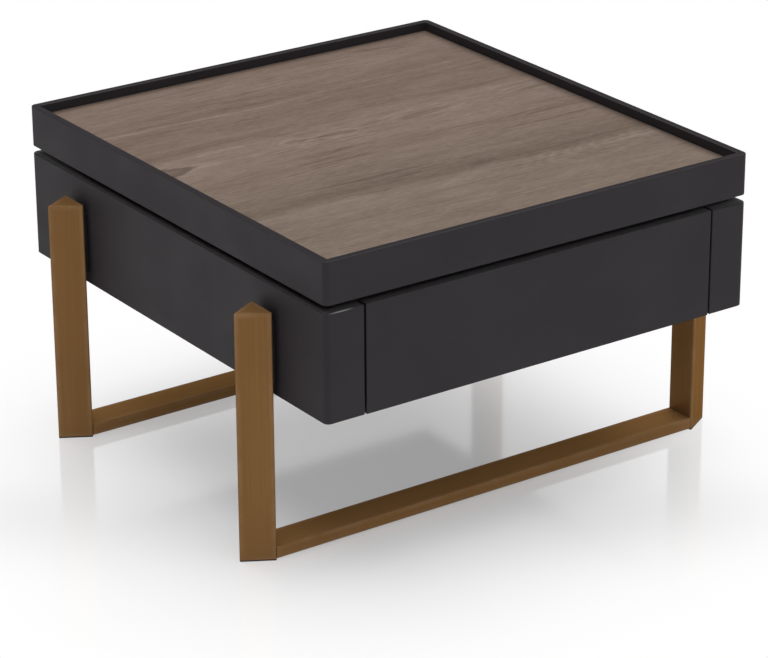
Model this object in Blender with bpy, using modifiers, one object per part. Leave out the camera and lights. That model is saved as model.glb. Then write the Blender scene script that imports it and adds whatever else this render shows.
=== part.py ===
"""Low table with a framed tray top, a one-drawer cabinet and two sled frames of triangular tube.

Metres, +Z up. The floor is z = 0, the origin lies under the middle of the table,
and the drawer opens towards -Y.
"""
import math

import bmesh
import bpy
from mathutils import Vector

# Overall size of the tray and the cabinet in plan, and the height of the tray's rim
TABLE_WIDTH = 0.700
TABLE_DEPTH = 0.755
TABLE_HEIGHT = 0.460

# Clearances
SEAT_GAP = 0.0003
SHANK_CLEARANCE = 0.0003
RUNNING_CLEARANCE = 0.0005

# Tray top: rails round an inset panel, which battens carry above a base board
TRAY_HEIGHT = 0.060
RAIL_THICKNESS = 0.011
TOP_RECESS = 0.013
TOP_PANEL_THICKNESS = 0.018
TRAY_BASE_THICKNESS = 0.012

# Shadow gap under the tray, held open by two strips
REVEAL_HEIGHT = 0.0105
SPACER_WIDTH = 0.050
SPACER_END_INSET = 0.045
SPACER_FROM_OPENING = 0.025

# Cabinet
CABINET_HEIGHT = 0.154
BOARD_THICKNESS = 0.018
CARCASS_THICKNESS = 0.016
STILE_WIDTH = 0.060
FINGER_RECESS = 0.030

# Drawer
DRAWER_SIDE_GAP = 0.0032
DRAWER_CLOSING_GAP = 0.0015
DRAWER_LIFT = 0.008
DRAWER_HEADROOM = 0.014
DRAWER_BACK_ROOM = 0.175
DRAWER_BOX_THICKNESS = 0.012
DRAWER_BOTTOM_THICKNESS = 0.006
DRAWER_BOTTOM_RAISE = 0.006

# Telescopic slides, one pair of nested channels and an inner channel on each side
SLIDE_HEIGHT = 0.045
SLIDE_THICKNESS = 0.0127
SLIDE_WALL = 0.0015
SLIDE_SETBACK = 0.006
SLIDE_END_ROOM = 0.038
SLIDE_LIP_STEP = 0.001

# Sled frames
LEG_SIDE = 0.0525
LEG_WALL = 0.002
LEG_CORNER_RADIUS = 0.002
LEG_STANDOFF = 0.008
LEG_TOP_DROP = 0.032
FRAME_INSET = 0.109
BAR_DEPTH = 0.049
BAR_HEIGHT = 0.0165
BAR_WALL = 0.002
FOOT_THICKNESS = 0.002
PLUG_HEIGHT = 0.010
PAD_WIDTH = 0.034
PAD_MARGIN = 0.016

# Fasteners
LEG_BOLT_RADIUS = 0.003
LEG_BOLT_HEAD_RADIUS = 0.0055
LEG_BOLT_HEAD_HEIGHT = 0.0035
LEG_BOLT_END_DISTANCE = 0.032
LEG_BOLT_GRIP = 0.006
SCREW_RADIUS = 0.002
SCREW_HEAD_RADIUS = 0.004
SCREW_HEAD_HEIGHT = 0.0025
SCREW_COVER = 0.007
SCREW_TIP_ROOM = 0.001
TRAY_SCREW_END_DISTANCE = 0.120
FRONT_SCREW_INSET = 0.110
TIP_CHAMFER = 0.0007
SOCKET_SHARE = 0.5

# Facets
ROUND_STEPS = 16
CORNER_STEPS = 3
SMOOTH_ANGLE = math.radians(50)
WELD_DISTANCE = 0.00001

# Levels and half sizes worked out from the sizes above
HALF_WIDTH = TABLE_WIDTH / 2
HALF_DEPTH = TABLE_DEPTH / 2
TRAY_BOTTOM = TABLE_HEIGHT - TRAY_HEIGHT
CABINET_TOP = TRAY_BOTTOM - REVEAL_HEIGHT
CABINET_BOTTOM = CABINET_TOP - CABINET_HEIGHT
OPENING_HALF = HALF_WIDTH - STILE_WIDTH
FRONT_BACK_Y = -HALF_DEPTH + BOARD_THICKNESS
BOX_HALF = OPENING_HALF - SLIDE_THICKNESS - 2 * SEAT_GAP
BOX_FRONT_Y = FRONT_BACK_Y + SEAT_GAP
BOX_BACK_Y = HALF_DEPTH - BOARD_THICKNESS - DRAWER_BACK_ROOM
BOX_BOTTOM = CABINET_BOTTOM + CARCASS_THICKNESS + DRAWER_LIFT
BOX_TOP = CABINET_TOP - CARCASS_THICKNESS - DRAWER_HEADROOM
BOX_MIDDLE = (BOX_BOTTOM + BOX_TOP) / 2
SLIDE_FRONT_Y = FRONT_BACK_Y + SLIDE_SETBACK
SLIDE_LENGTH = BOX_BACK_Y - SLIDE_END_ROOM - SLIDE_FRONT_Y
SPACER_X = OPENING_HALF - SPACER_FROM_OPENING
PANEL_BOTTOM = TABLE_HEIGHT - TOP_RECESS - TOP_PANEL_THICKNESS
LEG_X = HALF_WIDTH + LEG_STANDOFF
LEG_Y = HALF_DEPTH - FRAME_INSET - LEG_SIDE / 2
LEG_TOP = CABINET_TOP - LEG_TOP_DROP
BOLT_LEVELS = (CABINET_BOTTOM + LEG_BOLT_END_DISTANCE, LEG_TOP - LEG_BOLT_END_DISTANCE)
MITRE_SETBACK = SEAT_GAP / math.sqrt(2)
SIDES = {"left": -1, "right": 1}
ENDS = {"front": -1, "back": 1}

# Turns that lay a piece's own Z axis along a world direction
UPRIGHT = (0, 0, 0)
TOWARDS_FRONT = (math.pi / 2, 0, 0)
TOWARDS_SIDE = {"left": (0, -math.pi / 2, 0), "right": (0, math.pi / 2, 0)}


def make_collection(name):
    collection = bpy.data.collections.new(name)
    bpy.context.scene.collection.children.link(collection)
    return collection


def make_material(name, color, roughness, metallic=0.0):
    material = bpy.data.materials.new(name)
    material.use_nodes = True
    shader = material.node_tree.nodes["Principled BSDF"]
    shader.inputs["Base Color"].default_value = (*color, 1.0)
    shader.inputs["Roughness"].default_value = roughness
    shader.inputs["Metallic"].default_value = metallic
    return material


def make_empty(name, location):
    empty = bpy.data.objects.new(name, None)
    empty.location = location
    PARTS.objects.link(empty)
    return empty


def place(name, mesh, finish, location, rotation=UPRIGHT, parent=None):
    """Link a mesh as a named piece, at a world position under its parent."""
    piece = bpy.data.objects.new(name, mesh)
    mesh.materials.append(finish)
    piece.parent = parent
    piece.location = Vector(location) - (parent.location if parent else Vector())
    piece.rotation_euler = rotation
    PARTS.objects.link(piece)
    return piece


def board(name, low, high, finish, parent=None):
    """A square-edged board between two opposite corners."""
    low, high = Vector(low), Vector(high)
    shape = bmesh.new()
    bmesh.ops.create_cube(shape, size=1.0)
    bmesh.ops.scale(shape, vec=high - low, verts=shape.verts)
    mesh = bpy.data.meshes.new(name)
    shape.to_mesh(mesh)
    shape.free()
    return place(name, mesh, finish, (low + high) / 2, parent=parent)


def extrusion(name, outline, length, finish, middle, rotation=UPRIGHT, parent=None):
    """A flat outline drawn out to a length along its normal, half to each side of its middle."""
    curve = bpy.data.curves.new(name, "CURVE")
    curve.dimensions = "2D"
    curve.fill_mode = "BOTH"
    curve.extrude = length / 2
    spline = curve.splines.new("POLY")
    spline.points.add(len(outline) - 1)
    for point, (x, y) in zip(spline.points, outline):
        point.co = (x, y, 0, 1)
    spline.use_cyclic_u = True
    drawn = bpy.data.objects.new(name + "_outline", curve)
    PARTS.objects.link(drawn)
    evaluated = drawn.evaluated_get(bpy.context.evaluated_depsgraph_get())
    mesh = bpy.data.meshes.new_from_object(evaluated)
    bpy.data.objects.remove(drawn)
    shape = bmesh.new()
    shape.from_mesh(mesh)
    bmesh.ops.remove_doubles(shape, verts=shape.verts, dist=WELD_DISTANCE)
    bmesh.ops.recalc_face_normals(shape, faces=shape.faces)
    shape.to_mesh(mesh)
    shape.free()
    mesh.shade_smooth()
    mesh.set_sharp_from_angle(angle=SMOOTH_ANGLE)
    return place(name, mesh, finish, middle, rotation, parent)


def span(sign, inner, outer):
    """Low and high X of a piece between two distances from the middle, on one side."""
    return sorted((sign * inner, sign * outer))


def rounded(corners, radius, steps):
    """A convex outline with an arc in place of each corner."""
    points = []
    for index, corner in enumerate(corners):
        corner = Vector(corner)
        before = (Vector(corners[index - 1]) - corner).normalized()
        after = (Vector(corners[(index + 1) % len(corners)]) - corner).normalized()
        half_angle = before.angle(after) / 2
        centre = corner + (before + after).normalized() * radius / math.sin(half_angle)
        start = corner + before * radius / math.tan(half_angle) - centre
        end = corner + after * radius / math.tan(half_angle) - centre
        for step in range(steps + 1):
            points.append(centre + start.slerp(end, step / steps).normalized() * radius)
    return [(point.x, point.y) for point in points]


def mitred(start, end, thickness, mitre_start=True, mitre_end=True):
    """Plan of a board along X, its outer face at y = 0, cut at 45 degrees where it turns a corner."""
    start += MITRE_SETBACK if mitre_start else 0
    end -= MITRE_SETBACK if mitre_end else 0
    inner_start = start + thickness if mitre_start else start
    inner_end = end - thickness if mitre_end else end
    return [(start, 0), (end, 0), (inner_end, thickness), (inner_start, thickness)]


def triangle(side, inset):
    """Equilateral plan with one face on the Y axis and its ridge at +X, moved in by an inset."""
    ridge = side * math.sqrt(3) / 2 - 2 * inset
    half_face = side / 2 - inset * math.sqrt(3)
    return [(inset, -half_face), (ridge, 0), (inset, half_face)]


def channel(side, start, end, half_height, wall, open_to_drawer):
    """Section of a slide member, with u counted from the slide's back towards the drawer."""
    web = (start, start + wall) if open_to_drawer else (end, end - wall)
    tip = end if open_to_drawer else start
    inner = half_height - wall
    points = [(web[0], -half_height), (tip, -half_height), (tip, -inner), (web[1], -inner),
              (web[1], inner), (tip, inner), (tip, half_height), (web[0], half_height)]
    return [(-side * u, v) for u, v in points]


def fastener(name, seat, direction, reach, radius, head_radius, head_height, parent=None):
    """A round-headed screw with a socket, its head's underside at the seat and its tip at the reach."""
    socket_radius = head_radius * SOCKET_SHARE
    socket_floor = -head_height * (1 - SOCKET_SHARE)
    profile = [(0, reach), (radius - TIP_CHAMFER, reach), (radius, reach - TIP_CHAMFER), (radius, 0),
               (head_radius, 0), (head_radius, -head_height), (socket_radius, -head_height),
               (socket_radius, socket_floor), (0, socket_floor)]
    mesh = bpy.data.meshes.new(name)
    shape = bmesh.new()
    corners = [shape.verts.new((x, 0, z)) for x, z in profile]
    for corner, following in zip(corners, corners[1:]):
        shape.edges.new((corner, following))
    shape.to_mesh(mesh)
    shape.free()
    piece = place(name, mesh, STEEL, seat, direction, parent)
    spin = piece.modifiers.new("spin", "SCREW")
    spin.steps = ROUND_STEPS
    spin.render_steps = ROUND_STEPS
    spin.use_merge_vertices = True
    spin.merge_threshold = WELD_DISTANCE
    return piece


def drill(name, seat, direction, back, reach, radius, pieces, parent=None):
    """A round hole through the pieces, from behind the seat to a reach in front of it."""
    shape = bmesh.new()
    bmesh.ops.create_cone(shape, cap_ends=True, segments=ROUND_STEPS, radius1=radius, radius2=radius,
                          depth=back + reach)
    bmesh.ops.translate(shape, vec=(0, 0, (reach - back) / 2), verts=shape.verts)
    mesh = bpy.data.meshes.new(name)
    shape.to_mesh(mesh)
    shape.free()
    cutter = place(name, mesh, STEEL, seat, direction, parent)
    for piece in pieces:
        combine(piece, cutter)


def combine(piece, tool, operation="DIFFERENCE"):
    """Take a tool's shape out of a piece or add it on, and keep the tool with the other cutters."""
    if tool.name not in CUTTERS.objects:
        PARTS.objects.unlink(tool)
        CUTTERS.objects.link(tool)
        tool.hide_render = True
        tool.display_type = "WIRE"
    boolean = piece.modifiers.new(tool.name, "BOOLEAN")
    boolean.operation = operation
    boolean.object = tool


def build_tray():
    """Rails mitred round the inset top panel, with a base board and two battens under the panel."""
    plans = {"front": (TABLE_WIDTH, (0, -HALF_DEPTH), 0),
             "right": (TABLE_DEPTH, (HALF_WIDTH, 0), math.pi / 2),
             "back": (TABLE_WIDTH, (0, HALF_DEPTH), math.pi),
             "left": (TABLE_DEPTH, (-HALF_WIDTH, 0), -math.pi / 2)}
    for side, (length, (x, y), turn) in plans.items():
        outline = mitred(-length / 2, length / 2, RAIL_THICKNESS)
        middle = (x, y, TABLE_HEIGHT - TRAY_HEIGHT / 2)
        extrusion(f"tray_rail_{side}", outline, TRAY_HEIGHT, PAINT, middle, (0, 0, turn))
    x = HALF_WIDTH - RAIL_THICKNESS - SEAT_GAP
    y = HALF_DEPTH - RAIL_THICKNESS - SEAT_GAP
    base_top = TRAY_BOTTOM + TRAY_BASE_THICKNESS
    board("top_panel", (-x, -y, PANEL_BOTTOM), (x, y, PANEL_BOTTOM + TOP_PANEL_THICKNESS), OAK)
    base = board("tray_base", (-x, -y, TRAY_BOTTOM), (x, y, base_top), PAINT)
    battens = {}
    for side, sign in SIDES.items():
        near, far = span(sign, SPACER_X - SPACER_WIDTH / 2, SPACER_X + SPACER_WIDTH / 2)
        battens[side] = board(f"tray_batten_{side}", (near, -y + SEAT_GAP, base_top + SEAT_GAP),
                              (far, y - SEAT_GAP, PANEL_BOTTOM - SEAT_GAP), BARE_WOOD)
    return base, battens


def build_spacers():
    """Two strips that carry the tray above the cabinet and keep the shadow gap open."""
    spacers = {}
    y = HALF_DEPTH - SPACER_END_INSET
    for side, sign in SIDES.items():
        near, far = span(sign, SPACER_X - SPACER_WIDTH / 2, SPACER_X + SPACER_WIDTH / 2)
        spacers[side] = board(f"tray_spacer_{side}", (near, -y, CABINET_TOP + SEAT_GAP),
                              (far, y, TRAY_BOTTOM - SEAT_GAP), PAINT)
    return spacers


def build_cabinet():
    """Outer boards mitred at the corners, with the top, bottom and runner panels between them."""
    middle = (CABINET_TOP + CABINET_BOTTOM) / 2
    back_y = HALF_DEPTH - BOARD_THICKNESS - SEAT_GAP
    sides = {}
    for side, sign in SIDES.items():
        outline = mitred(-HALF_DEPTH, HALF_DEPTH, BOARD_THICKNESS)
        sides[side] = extrusion(f"cabinet_side_{side}", outline, CABINET_HEIGHT, PAINT,
                                (sign * HALF_WIDTH, 0, middle), (0, 0, sign * math.pi / 2))
        start, end = span(sign, OPENING_HALF, HALF_WIDTH)
        stile = mitred(start, end, BOARD_THICKNESS, mitre_start=sign < 0, mitre_end=sign > 0)
        extrusion(f"stile_{side}", stile, CABINET_HEIGHT, PAINT, (0, -HALF_DEPTH, middle))
        near, far = span(sign, OPENING_HALF, OPENING_HALF + CARCASS_THICKNESS)
        board(f"runner_panel_{side}", (near, FRONT_BACK_Y + SEAT_GAP, CABINET_BOTTOM),
              (far, back_y, CABINET_TOP - CARCASS_THICKNESS - SEAT_GAP), CARCASS)
    back = mitred(-HALF_WIDTH, HALF_WIDTH, BOARD_THICKNESS)
    extrusion("cabinet_back", back, CABINET_HEIGHT, PAINT, (0, HALF_DEPTH, middle), (0, 0, math.pi))
    x = HALF_WIDTH - BOARD_THICKNESS - SEAT_GAP
    top = board("cabinet_top", (-x, FRONT_BACK_Y + DRAWER_CLOSING_GAP, CABINET_TOP - CARCASS_THICKNESS),
                (x, back_y, CABINET_TOP), PAINT)
    x = OPENING_HALF - SEAT_GAP
    board("cabinet_bottom", (-x, FRONT_BACK_Y + FINGER_RECESS, CABINET_BOTTOM),
          (x, back_y, CABINET_BOTTOM + CARCASS_THICKNESS), CARCASS)
    return top, sides


def build_drawer(drawer):
    """A four-sided box with a raised bottom, and the flush front that hides it."""
    x = OPENING_HALF - DRAWER_SIDE_GAP
    front = board("drawer_front", (-x, -HALF_DEPTH, CABINET_BOTTOM), (x, FRONT_BACK_Y, CABINET_TOP),
                  PAINT, drawer)
    inner = BOX_HALF - DRAWER_BOX_THICKNESS
    for side, sign in SIDES.items():
        near, far = span(sign, inner, BOX_HALF)
        board(f"drawer_side_{side}", (near, BOX_FRONT_Y, BOX_BOTTOM), (far, BOX_BACK_Y, BOX_TOP),
              DRAWER_BOARD, drawer)
    x = inner - SEAT_GAP
    front_inside = BOX_FRONT_Y + DRAWER_BOX_THICKNESS
    back_inside = BOX_BACK_Y - DRAWER_BOX_THICKNESS
    box_front = board("drawer_box_front", (-x, BOX_FRONT_Y, BOX_BOTTOM), (x, front_inside, BOX_TOP),
                      DRAWER_BOARD, drawer)
    board("drawer_box_back", (-x, back_inside, BOX_BOTTOM), (x, BOX_BACK_Y, BOX_TOP), DRAWER_BOARD, drawer)
    bottom = BOX_BOTTOM + DRAWER_BOTTOM_RAISE
    board("drawer_bottom", (-x, front_inside + SEAT_GAP, bottom),
          (x, back_inside - SEAT_GAP, bottom + DRAWER_BOTTOM_THICKNESS), DRAWER_BOARD, drawer)
    return front, box_front


def build_slides(drawer, middles):
    """Three nested channels on each side: on the runner panel, between, and on the drawer's side."""
    step = SLIDE_WALL + RUNNING_CLEARANCE
    middle_y = SLIDE_FRONT_Y + SLIDE_LENGTH / 2
    half = SLIDE_HEIGHT / 2
    drawer_face = SLIDE_THICKNESS
    fixed_tip = drawer_face - SLIDE_WALL - RUNNING_CLEARANCE - SLIDE_LIP_STEP
    members = {"fixed": (0, fixed_tip, half, True, None),
               "middle": (step, fixed_tip + SLIDE_LIP_STEP, half - step, True, middles),
               "moving": (2 * step, drawer_face, half - 2 * step, False, {"left": drawer, "right": drawer})}
    for side, sign in SIDES.items():
        place_at = (sign * (OPENING_HALF - SEAT_GAP), middle_y, BOX_MIDDLE)
        for member, (start, end, half_height, open_to_drawer, parents) in members.items():
            outline = channel(sign, start, end, half_height, SLIDE_WALL, open_to_drawer)
            parent = parents[side] if parents else None
            extrusion(f"slide_{member}_{side}", outline, SLIDE_LENGTH, ZINC, place_at, TOWARDS_FRONT, parent)


def build_foot(tag, x, y, turn):
    """A triangular glide under a leg, with a plug that sits in the tube."""
    flange_height = FOOT_THICKNESS - SEAT_GAP
    flange_middle = flange_height / 2
    outline = rounded(triangle(LEG_SIDE, 0), LEG_CORNER_RADIUS, CORNER_STEPS)
    foot = extrusion(f"foot_{tag}", outline, flange_height, PLASTIC, (x, y, flange_middle), turn)
    plug_height = FOOT_THICKNESS + PLUG_HEIGHT - flange_middle
    plug = extrusion(f"foot_plug_{tag}", triangle(LEG_SIDE, LEG_WALL + SHANK_CLEARANCE), plug_height, PLASTIC,
                     (x, y, flange_middle + plug_height / 2), turn)
    combine(foot, plug, "UNION")


def build_frames(cabinet_sides):
    """Two legs and a floor bar for each frame, with a foot, a stand-off pad and two bolts a leg."""
    leg_height = LEG_TOP - FOOT_THICKNESS
    bolt_reach = BOARD_THICKNESS + LEG_STANDOFF + LEG_WALL + LEG_BOLT_GRIP
    for end, end_sign in ENDS.items():
        y = end_sign * LEG_Y
        for side, sign in SIDES.items():
            tag = f"{end}_{side}"
            turn = (0, 0, 0 if sign > 0 else math.pi)
            centre = (sign * LEG_X, y, FOOT_THICKNESS + leg_height / 2)
            outline = rounded(triangle(LEG_SIDE, 0), LEG_CORNER_RADIUS, CORNER_STEPS)
            leg = extrusion(f"leg_{tag}", outline, leg_height, BRONZE, centre, turn)
            hollow_middle = (centre[0], y, centre[2] - LEG_WALL)
            combine(leg, extrusion(f"leg_hollow_{tag}", triangle(LEG_SIDE, LEG_WALL), leg_height, BRONZE,
                                   hollow_middle, turn))
            build_foot(tag, sign * LEG_X, y, turn)
            near, far = span(sign, HALF_WIDTH + SEAT_GAP, LEG_X - SEAT_GAP)
            pad = board(f"leg_pad_{tag}", (near, y - PAD_WIDTH / 2, BOLT_LEVELS[0] - PAD_MARGIN),
                        (far, y + PAD_WIDTH / 2, BOLT_LEVELS[1] + PAD_MARGIN), PLASTIC)
            for place_word, level in zip(("lower", "upper"), BOLT_LEVELS):
                seat = (sign * (HALF_WIDTH - BOARD_THICKNESS - SEAT_GAP), y, level)
                drill(f"leg_hole_{tag}_{place_word}", seat, TOWARDS_SIDE[side], BOARD_THICKNESS, bolt_reach,
                      LEG_BOLT_RADIUS + SHANK_CLEARANCE, (cabinet_sides[side], pad, leg))
                fastener(f"leg_bolt_{tag}_{place_word}", seat, TOWARDS_SIDE[side], bolt_reach,
                         LEG_BOLT_RADIUS, LEG_BOLT_HEAD_RADIUS, LEG_BOLT_HEAD_HEIGHT)
        x = LEG_X - SEAT_GAP
        low, high = FOOT_THICKNESS, FOOT_THICKNESS + BAR_HEIGHT
        bar = board(f"floor_bar_{end}", (-x, y - BAR_DEPTH / 2, low), (x, y + BAR_DEPTH / 2, high), BRONZE)
        bore_y = BAR_DEPTH / 2 - BAR_WALL
        combine(bar, board(f"floor_bar_hollow_{end}", (-LEG_X, y - bore_y, low + BAR_WALL),
                           (LEG_X, y + bore_y, high - BAR_WALL), BRONZE))


def build_tray_screws(cabinet_top, spacers, base, battens):
    """Long screws from under the cabinet's top through spacer and tray base into the battens."""
    seat_z = CABINET_TOP - CARCASS_THICKNESS - SEAT_GAP
    reach = PANEL_BOTTOM - SCREW_COVER - seat_z
    for side, sign in SIDES.items():
        for end, end_sign in ENDS.items():
            seat = (sign * SPACER_X, end_sign * (HALF_DEPTH - TRAY_SCREW_END_DISTANCE), seat_z)
            drill(f"tray_hole_{end}_{side}", seat, UPRIGHT, CARCASS_THICKNESS, reach + SCREW_TIP_ROOM,
                  SCREW_RADIUS + SHANK_CLEARANCE, (cabinet_top, spacers[side], base, battens[side]))
            fastener(f"tray_screw_{end}_{side}", seat, UPRIGHT, reach, SCREW_RADIUS, SCREW_HEAD_RADIUS,
                     SCREW_HEAD_HEIGHT)


def build_front_screws(front, box_front, drawer):
    """Screws from inside the drawer that hold the front on the box."""
    reach = DRAWER_BOX_THICKNESS + 2 * SEAT_GAP + BOARD_THICKNESS - SCREW_COVER
    seat_y = BOX_FRONT_Y + DRAWER_BOX_THICKNESS + SEAT_GAP
    for side, sign in SIDES.items():
        seat = (sign * (BOX_HALF - FRONT_SCREW_INSET), seat_y, BOX_MIDDLE)
        drill(f"front_hole_{side}", seat, TOWARDS_FRONT, DRAWER_BOX_THICKNESS, reach + SCREW_TIP_ROOM,
              SCREW_RADIUS + SHANK_CLEARANCE, (box_front, front), drawer)
        fastener(f"front_screw_{side}", seat, TOWARDS_FRONT, reach, SCREW_RADIUS, SCREW_HEAD_RADIUS,
                 SCREW_HEAD_HEIGHT, drawer)


for leftover in list(bpy.data.objects):
    bpy.data.objects.remove(leftover)
PARTS = make_collection("coffee_table")
CUTTERS = make_collection("cutters")

PAINT = make_material("charcoal_paint", (0.036, 0.034, 0.037), 0.42)
OAK = make_material("grey_oak_veneer", (0.235, 0.180, 0.138), 0.50)
BRONZE = make_material("bronze_metal", (0.195, 0.105, 0.040), 0.38, 0.85)
CARCASS = make_material("carcass_board", (0.050, 0.047, 0.048), 0.60)
DRAWER_BOARD = make_material("drawer_board", (0.150, 0.130, 0.112), 0.60)
BARE_WOOD = make_material("pine_batten", (0.560, 0.400, 0.240), 0.70)
ZINC = make_material("zinc_steel", (0.560, 0.570, 0.580), 0.35, 1.0)
STEEL = make_material("dark_steel", (0.200, 0.200, 0.205), 0.40, 1.0)
PLASTIC = make_material("black_plastic", (0.015, 0.015, 0.016), 0.55)

DRAWER = make_empty("drawer_runner", (0, -HALF_DEPTH, BOX_MIDDLE))
MIDDLES = {side: make_empty(f"slide_middle_runner_{side}", (sign * OPENING_HALF, -HALF_DEPTH, BOX_MIDDLE))
           for side, sign in SIDES.items()}

tray_base, tray_battens = build_tray()
tray_spacers = build_spacers()
cabinet_top, cabinet_sides = build_cabinet()
drawer_front, drawer_box_front = build_drawer(DRAWER)
build_slides(DRAWER, MIDDLES)
build_frames(cabinet_sides)
build_tray_screws(cabinet_top, tray_spacers, tray_base, tray_battens)
build_front_screws(drawer_front, drawer_box_front, DRAWER)
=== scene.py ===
"""Finishes, eased edges, floor, light and camera for the coffee table.

Metres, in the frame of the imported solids: the floor is z = 0 and the drawer opens towards -Y.
Colours are linear. Grains and noises are given in features per metre.
"""
import functools
import math

import bmesh
import bpy
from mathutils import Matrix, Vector


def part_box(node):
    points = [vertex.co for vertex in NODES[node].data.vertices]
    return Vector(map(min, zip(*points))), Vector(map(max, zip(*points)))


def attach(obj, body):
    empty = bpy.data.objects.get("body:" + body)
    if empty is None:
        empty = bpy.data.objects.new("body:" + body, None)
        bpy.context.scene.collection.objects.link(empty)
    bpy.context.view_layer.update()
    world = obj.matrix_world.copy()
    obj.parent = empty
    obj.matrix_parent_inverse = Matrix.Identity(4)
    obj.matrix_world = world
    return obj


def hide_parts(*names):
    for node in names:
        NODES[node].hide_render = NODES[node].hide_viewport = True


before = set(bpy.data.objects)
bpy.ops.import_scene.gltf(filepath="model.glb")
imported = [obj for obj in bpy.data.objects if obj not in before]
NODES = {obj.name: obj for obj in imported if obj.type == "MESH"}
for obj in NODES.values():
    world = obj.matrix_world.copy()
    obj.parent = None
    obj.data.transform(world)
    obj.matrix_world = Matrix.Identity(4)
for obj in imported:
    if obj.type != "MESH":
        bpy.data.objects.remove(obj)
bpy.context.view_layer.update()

# Camera that sees the table as the photograph does, and its heading over the floor
CAMERA_PLACE = (-2.4573, -3.5320, 1.9662)
CAMERA_TURN = (67.177, 0.274, -34.981)
CAMERA_LENS = 152.30
SENSOR_WIDTH = 36.0
VIEW_TURN = -math.radians(CAMERA_TURN[2])
VIEW_AHEAD = Vector((math.sin(VIEW_TURN), math.cos(VIEW_TURN), 0.0))

# Names that tell the pieces apart
SIDES = ("left", "right")
ENDS = ("front", "back")
TAGS = [f"{end}_{side}" for end in ENDS for side in SIDES]

# Edges and corners of the pieces: how far they are eased or rounded. Walls of the tubes, holes for the bolts
RIM_EASE = 0.0010
RIM_CORNER = 0.0080
RIM_INNER_CORNER = 0.0004
CABINET_EASE = 0.0010
CABINET_TOP_EASE = 0.0020
CABINET_CORNER = 0.0080
FRONT_EASE = 0.0014
PANEL_EASE = 0.0008
BOARD_EASE = 0.0006
METAL_EASE = 0.0003
LEG_CORNER = 0.0022
LEG_TOP_EASE = 0.0012
LEG_WALL = 0.0020
BAR_EASE = 0.0013
BAR_WALL = 0.0020
BOLT_HOLE_RADIUS = 0.0033
EASE_STEPS = 4
ROUND_STEPS = 24
SHARP_ANGLE = math.radians(40)
WELD_DISTANCE = 0.00001

# Shared by the finishes: the range that most of a noise lies in, the upward part of a normal from slanting to
# level faces, how far the normal turns at an edge, and how edge wear and painted highlights are broken up
NOISE_RANGE = (0.3, 0.7)
LOOKS_UP = (0.5, 0.9)
EDGE_TURN = (0.99, 0.90)
WEAR_AND_HIGHLIGHT_RANGE = (0.35, 0.65)
WEAR_AND_HIGHLIGHT_LEAST = 0.35
BEVEL_SAMPLES = 6

# Figure of the oak veneer on the table top: the tone of its bands at places across it, where 0.5 is plain, and
# how far the grain sways from a straight line. The bands towards the back are set darker, partly as painted
# shade
VENEER_WIDTH = 0.75
VENEER_BANDS = ((-0.36, 0.52), (-0.23, 0.50), (-0.19, 0.59), (-0.16, 0.15), (-0.13, 0.39), (-0.05, 0.50),
                (-0.03, 0.40), (0.00, 0.56), (0.09, 0.58), (0.115, 0.28), (0.13, 0.41), (0.19, 0.37),
                (0.205, 0.38), (0.238, 0.36), (0.26, 0.44), (0.31, 0.49), (0.36, 0.41))
WAVE_SWAY = 0.065
RUFFLE_SWAY = 0.014

# Pale line in the veneer, which fades along the grain
PALE_LINE = 0.2155
PALE_LINE_HALF = 0.0055
PALE_LINE_FADE = (-0.12, 0.08)
PALE_LINE_END = 0.35
PALE_LINE_TONE = 0.36

# Row of long eyes along the heart line, each a middle and half its length, with the tone of the rings round them
HEART_LINE = 0.050
EYE_HEIGHT = 0.0085
EYES = ((-0.107, 0.024), (-0.042, 0.034), (0.117, 0.052), (0.325, 0.055))
EYE_RAGGED = 2.4
EYE_REACH = 6.0
EYE_RINGS = ((0.00, 0.27), (0.11, 0.31), (0.21, 0.61), (0.32, 0.58),
             (0.40, 0.43), (0.50, 0.58), (0.62, 0.45), (1.00, 0.50))

# Wedge-shaped knot in that row, frayed at its edge and paler in its core, in a pale halo
KNOT_LINE = 0.049
KNOT_START = -0.317
KNOT_LENGTH = 0.046
KNOT_HALF = 0.021
KNOT_POINT = 1.4
KNOT_FRAY = 0.9
KNOT_EDGE = (1.15, 0.75)
KNOT_CORE = (0.05, 0.55)
KNOT_CORE_SHARE = 0.60
KNOT_SHARE = 0.80
KNOT_COLOR = (0.110, 0.072, 0.056)
HALO_EDGE = (2.6, 1.2)
HALO_TONE = 0.10

# Arched grain in front, towards the right
ARCH_LINE = -0.196
ARCH_REACH = 0.046
ARCH_START = (0.05, 0.13)
ARCH_SPACING = 0.027
ARCH_BEND = 26.0
ARCH_DRIFT = 0.130
ARCH_TONE = 0.085

# Fine grain of the oak and what it adds to the tone, its colours by tone, its cast, which turns from warm to
# olive towards the front, its pores, and painted shade that darkens it along the rails, as their shadow would
FLECK_TONE = 0.85
FIBRE_TONE = 0.50
STREAK_TONE = 0.38
MOTTLE_TONE = 0.55
LINE_TONE = -0.30
LINE_RANGE = (0.54, 0.66)
PATCH_RANGE = (0.42, 0.62)
OAK_COLORS = ((0.00, (0.125, 0.086, 0.063)), (0.38, (0.191, 0.137, 0.106)),
              (0.62, (0.232, 0.172, 0.136)), (1.00, (0.329, 0.257, 0.213)))
WARM_TINT = (1.030, 1.012, 1.004)
OLIVE_TINT = (0.989, 1.002, 0.990)
CAST_TURN = (0.00, -0.15)
CAST_DRIFT = 0.30
PORE_RANGE = (0.60, 0.74)
PORE_SHARE = 0.28
PORE_COLOR = (0.105, 0.074, 0.055)
RAIL_PAINTED_SHADE_REACH = 0.022
RAIL_PAINTED_SHADE_SHARE = 0.60
RAIL_PAINTED_SHADE_COLOR = (0.060, 0.042, 0.034)
OAK_WEAR = {"edge_color": (0.340, 0.270, 0.215), "share": 0.25, "radius": 0.0012, "scale": 60.0}
OAK_SPECULAR = 0.20
OAK_ROUGHNESS = (0.60, 0.48)
FIBRE_RANGE = (0.25, 0.75)
FIBRE_HEIGHT = 0.6

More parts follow.
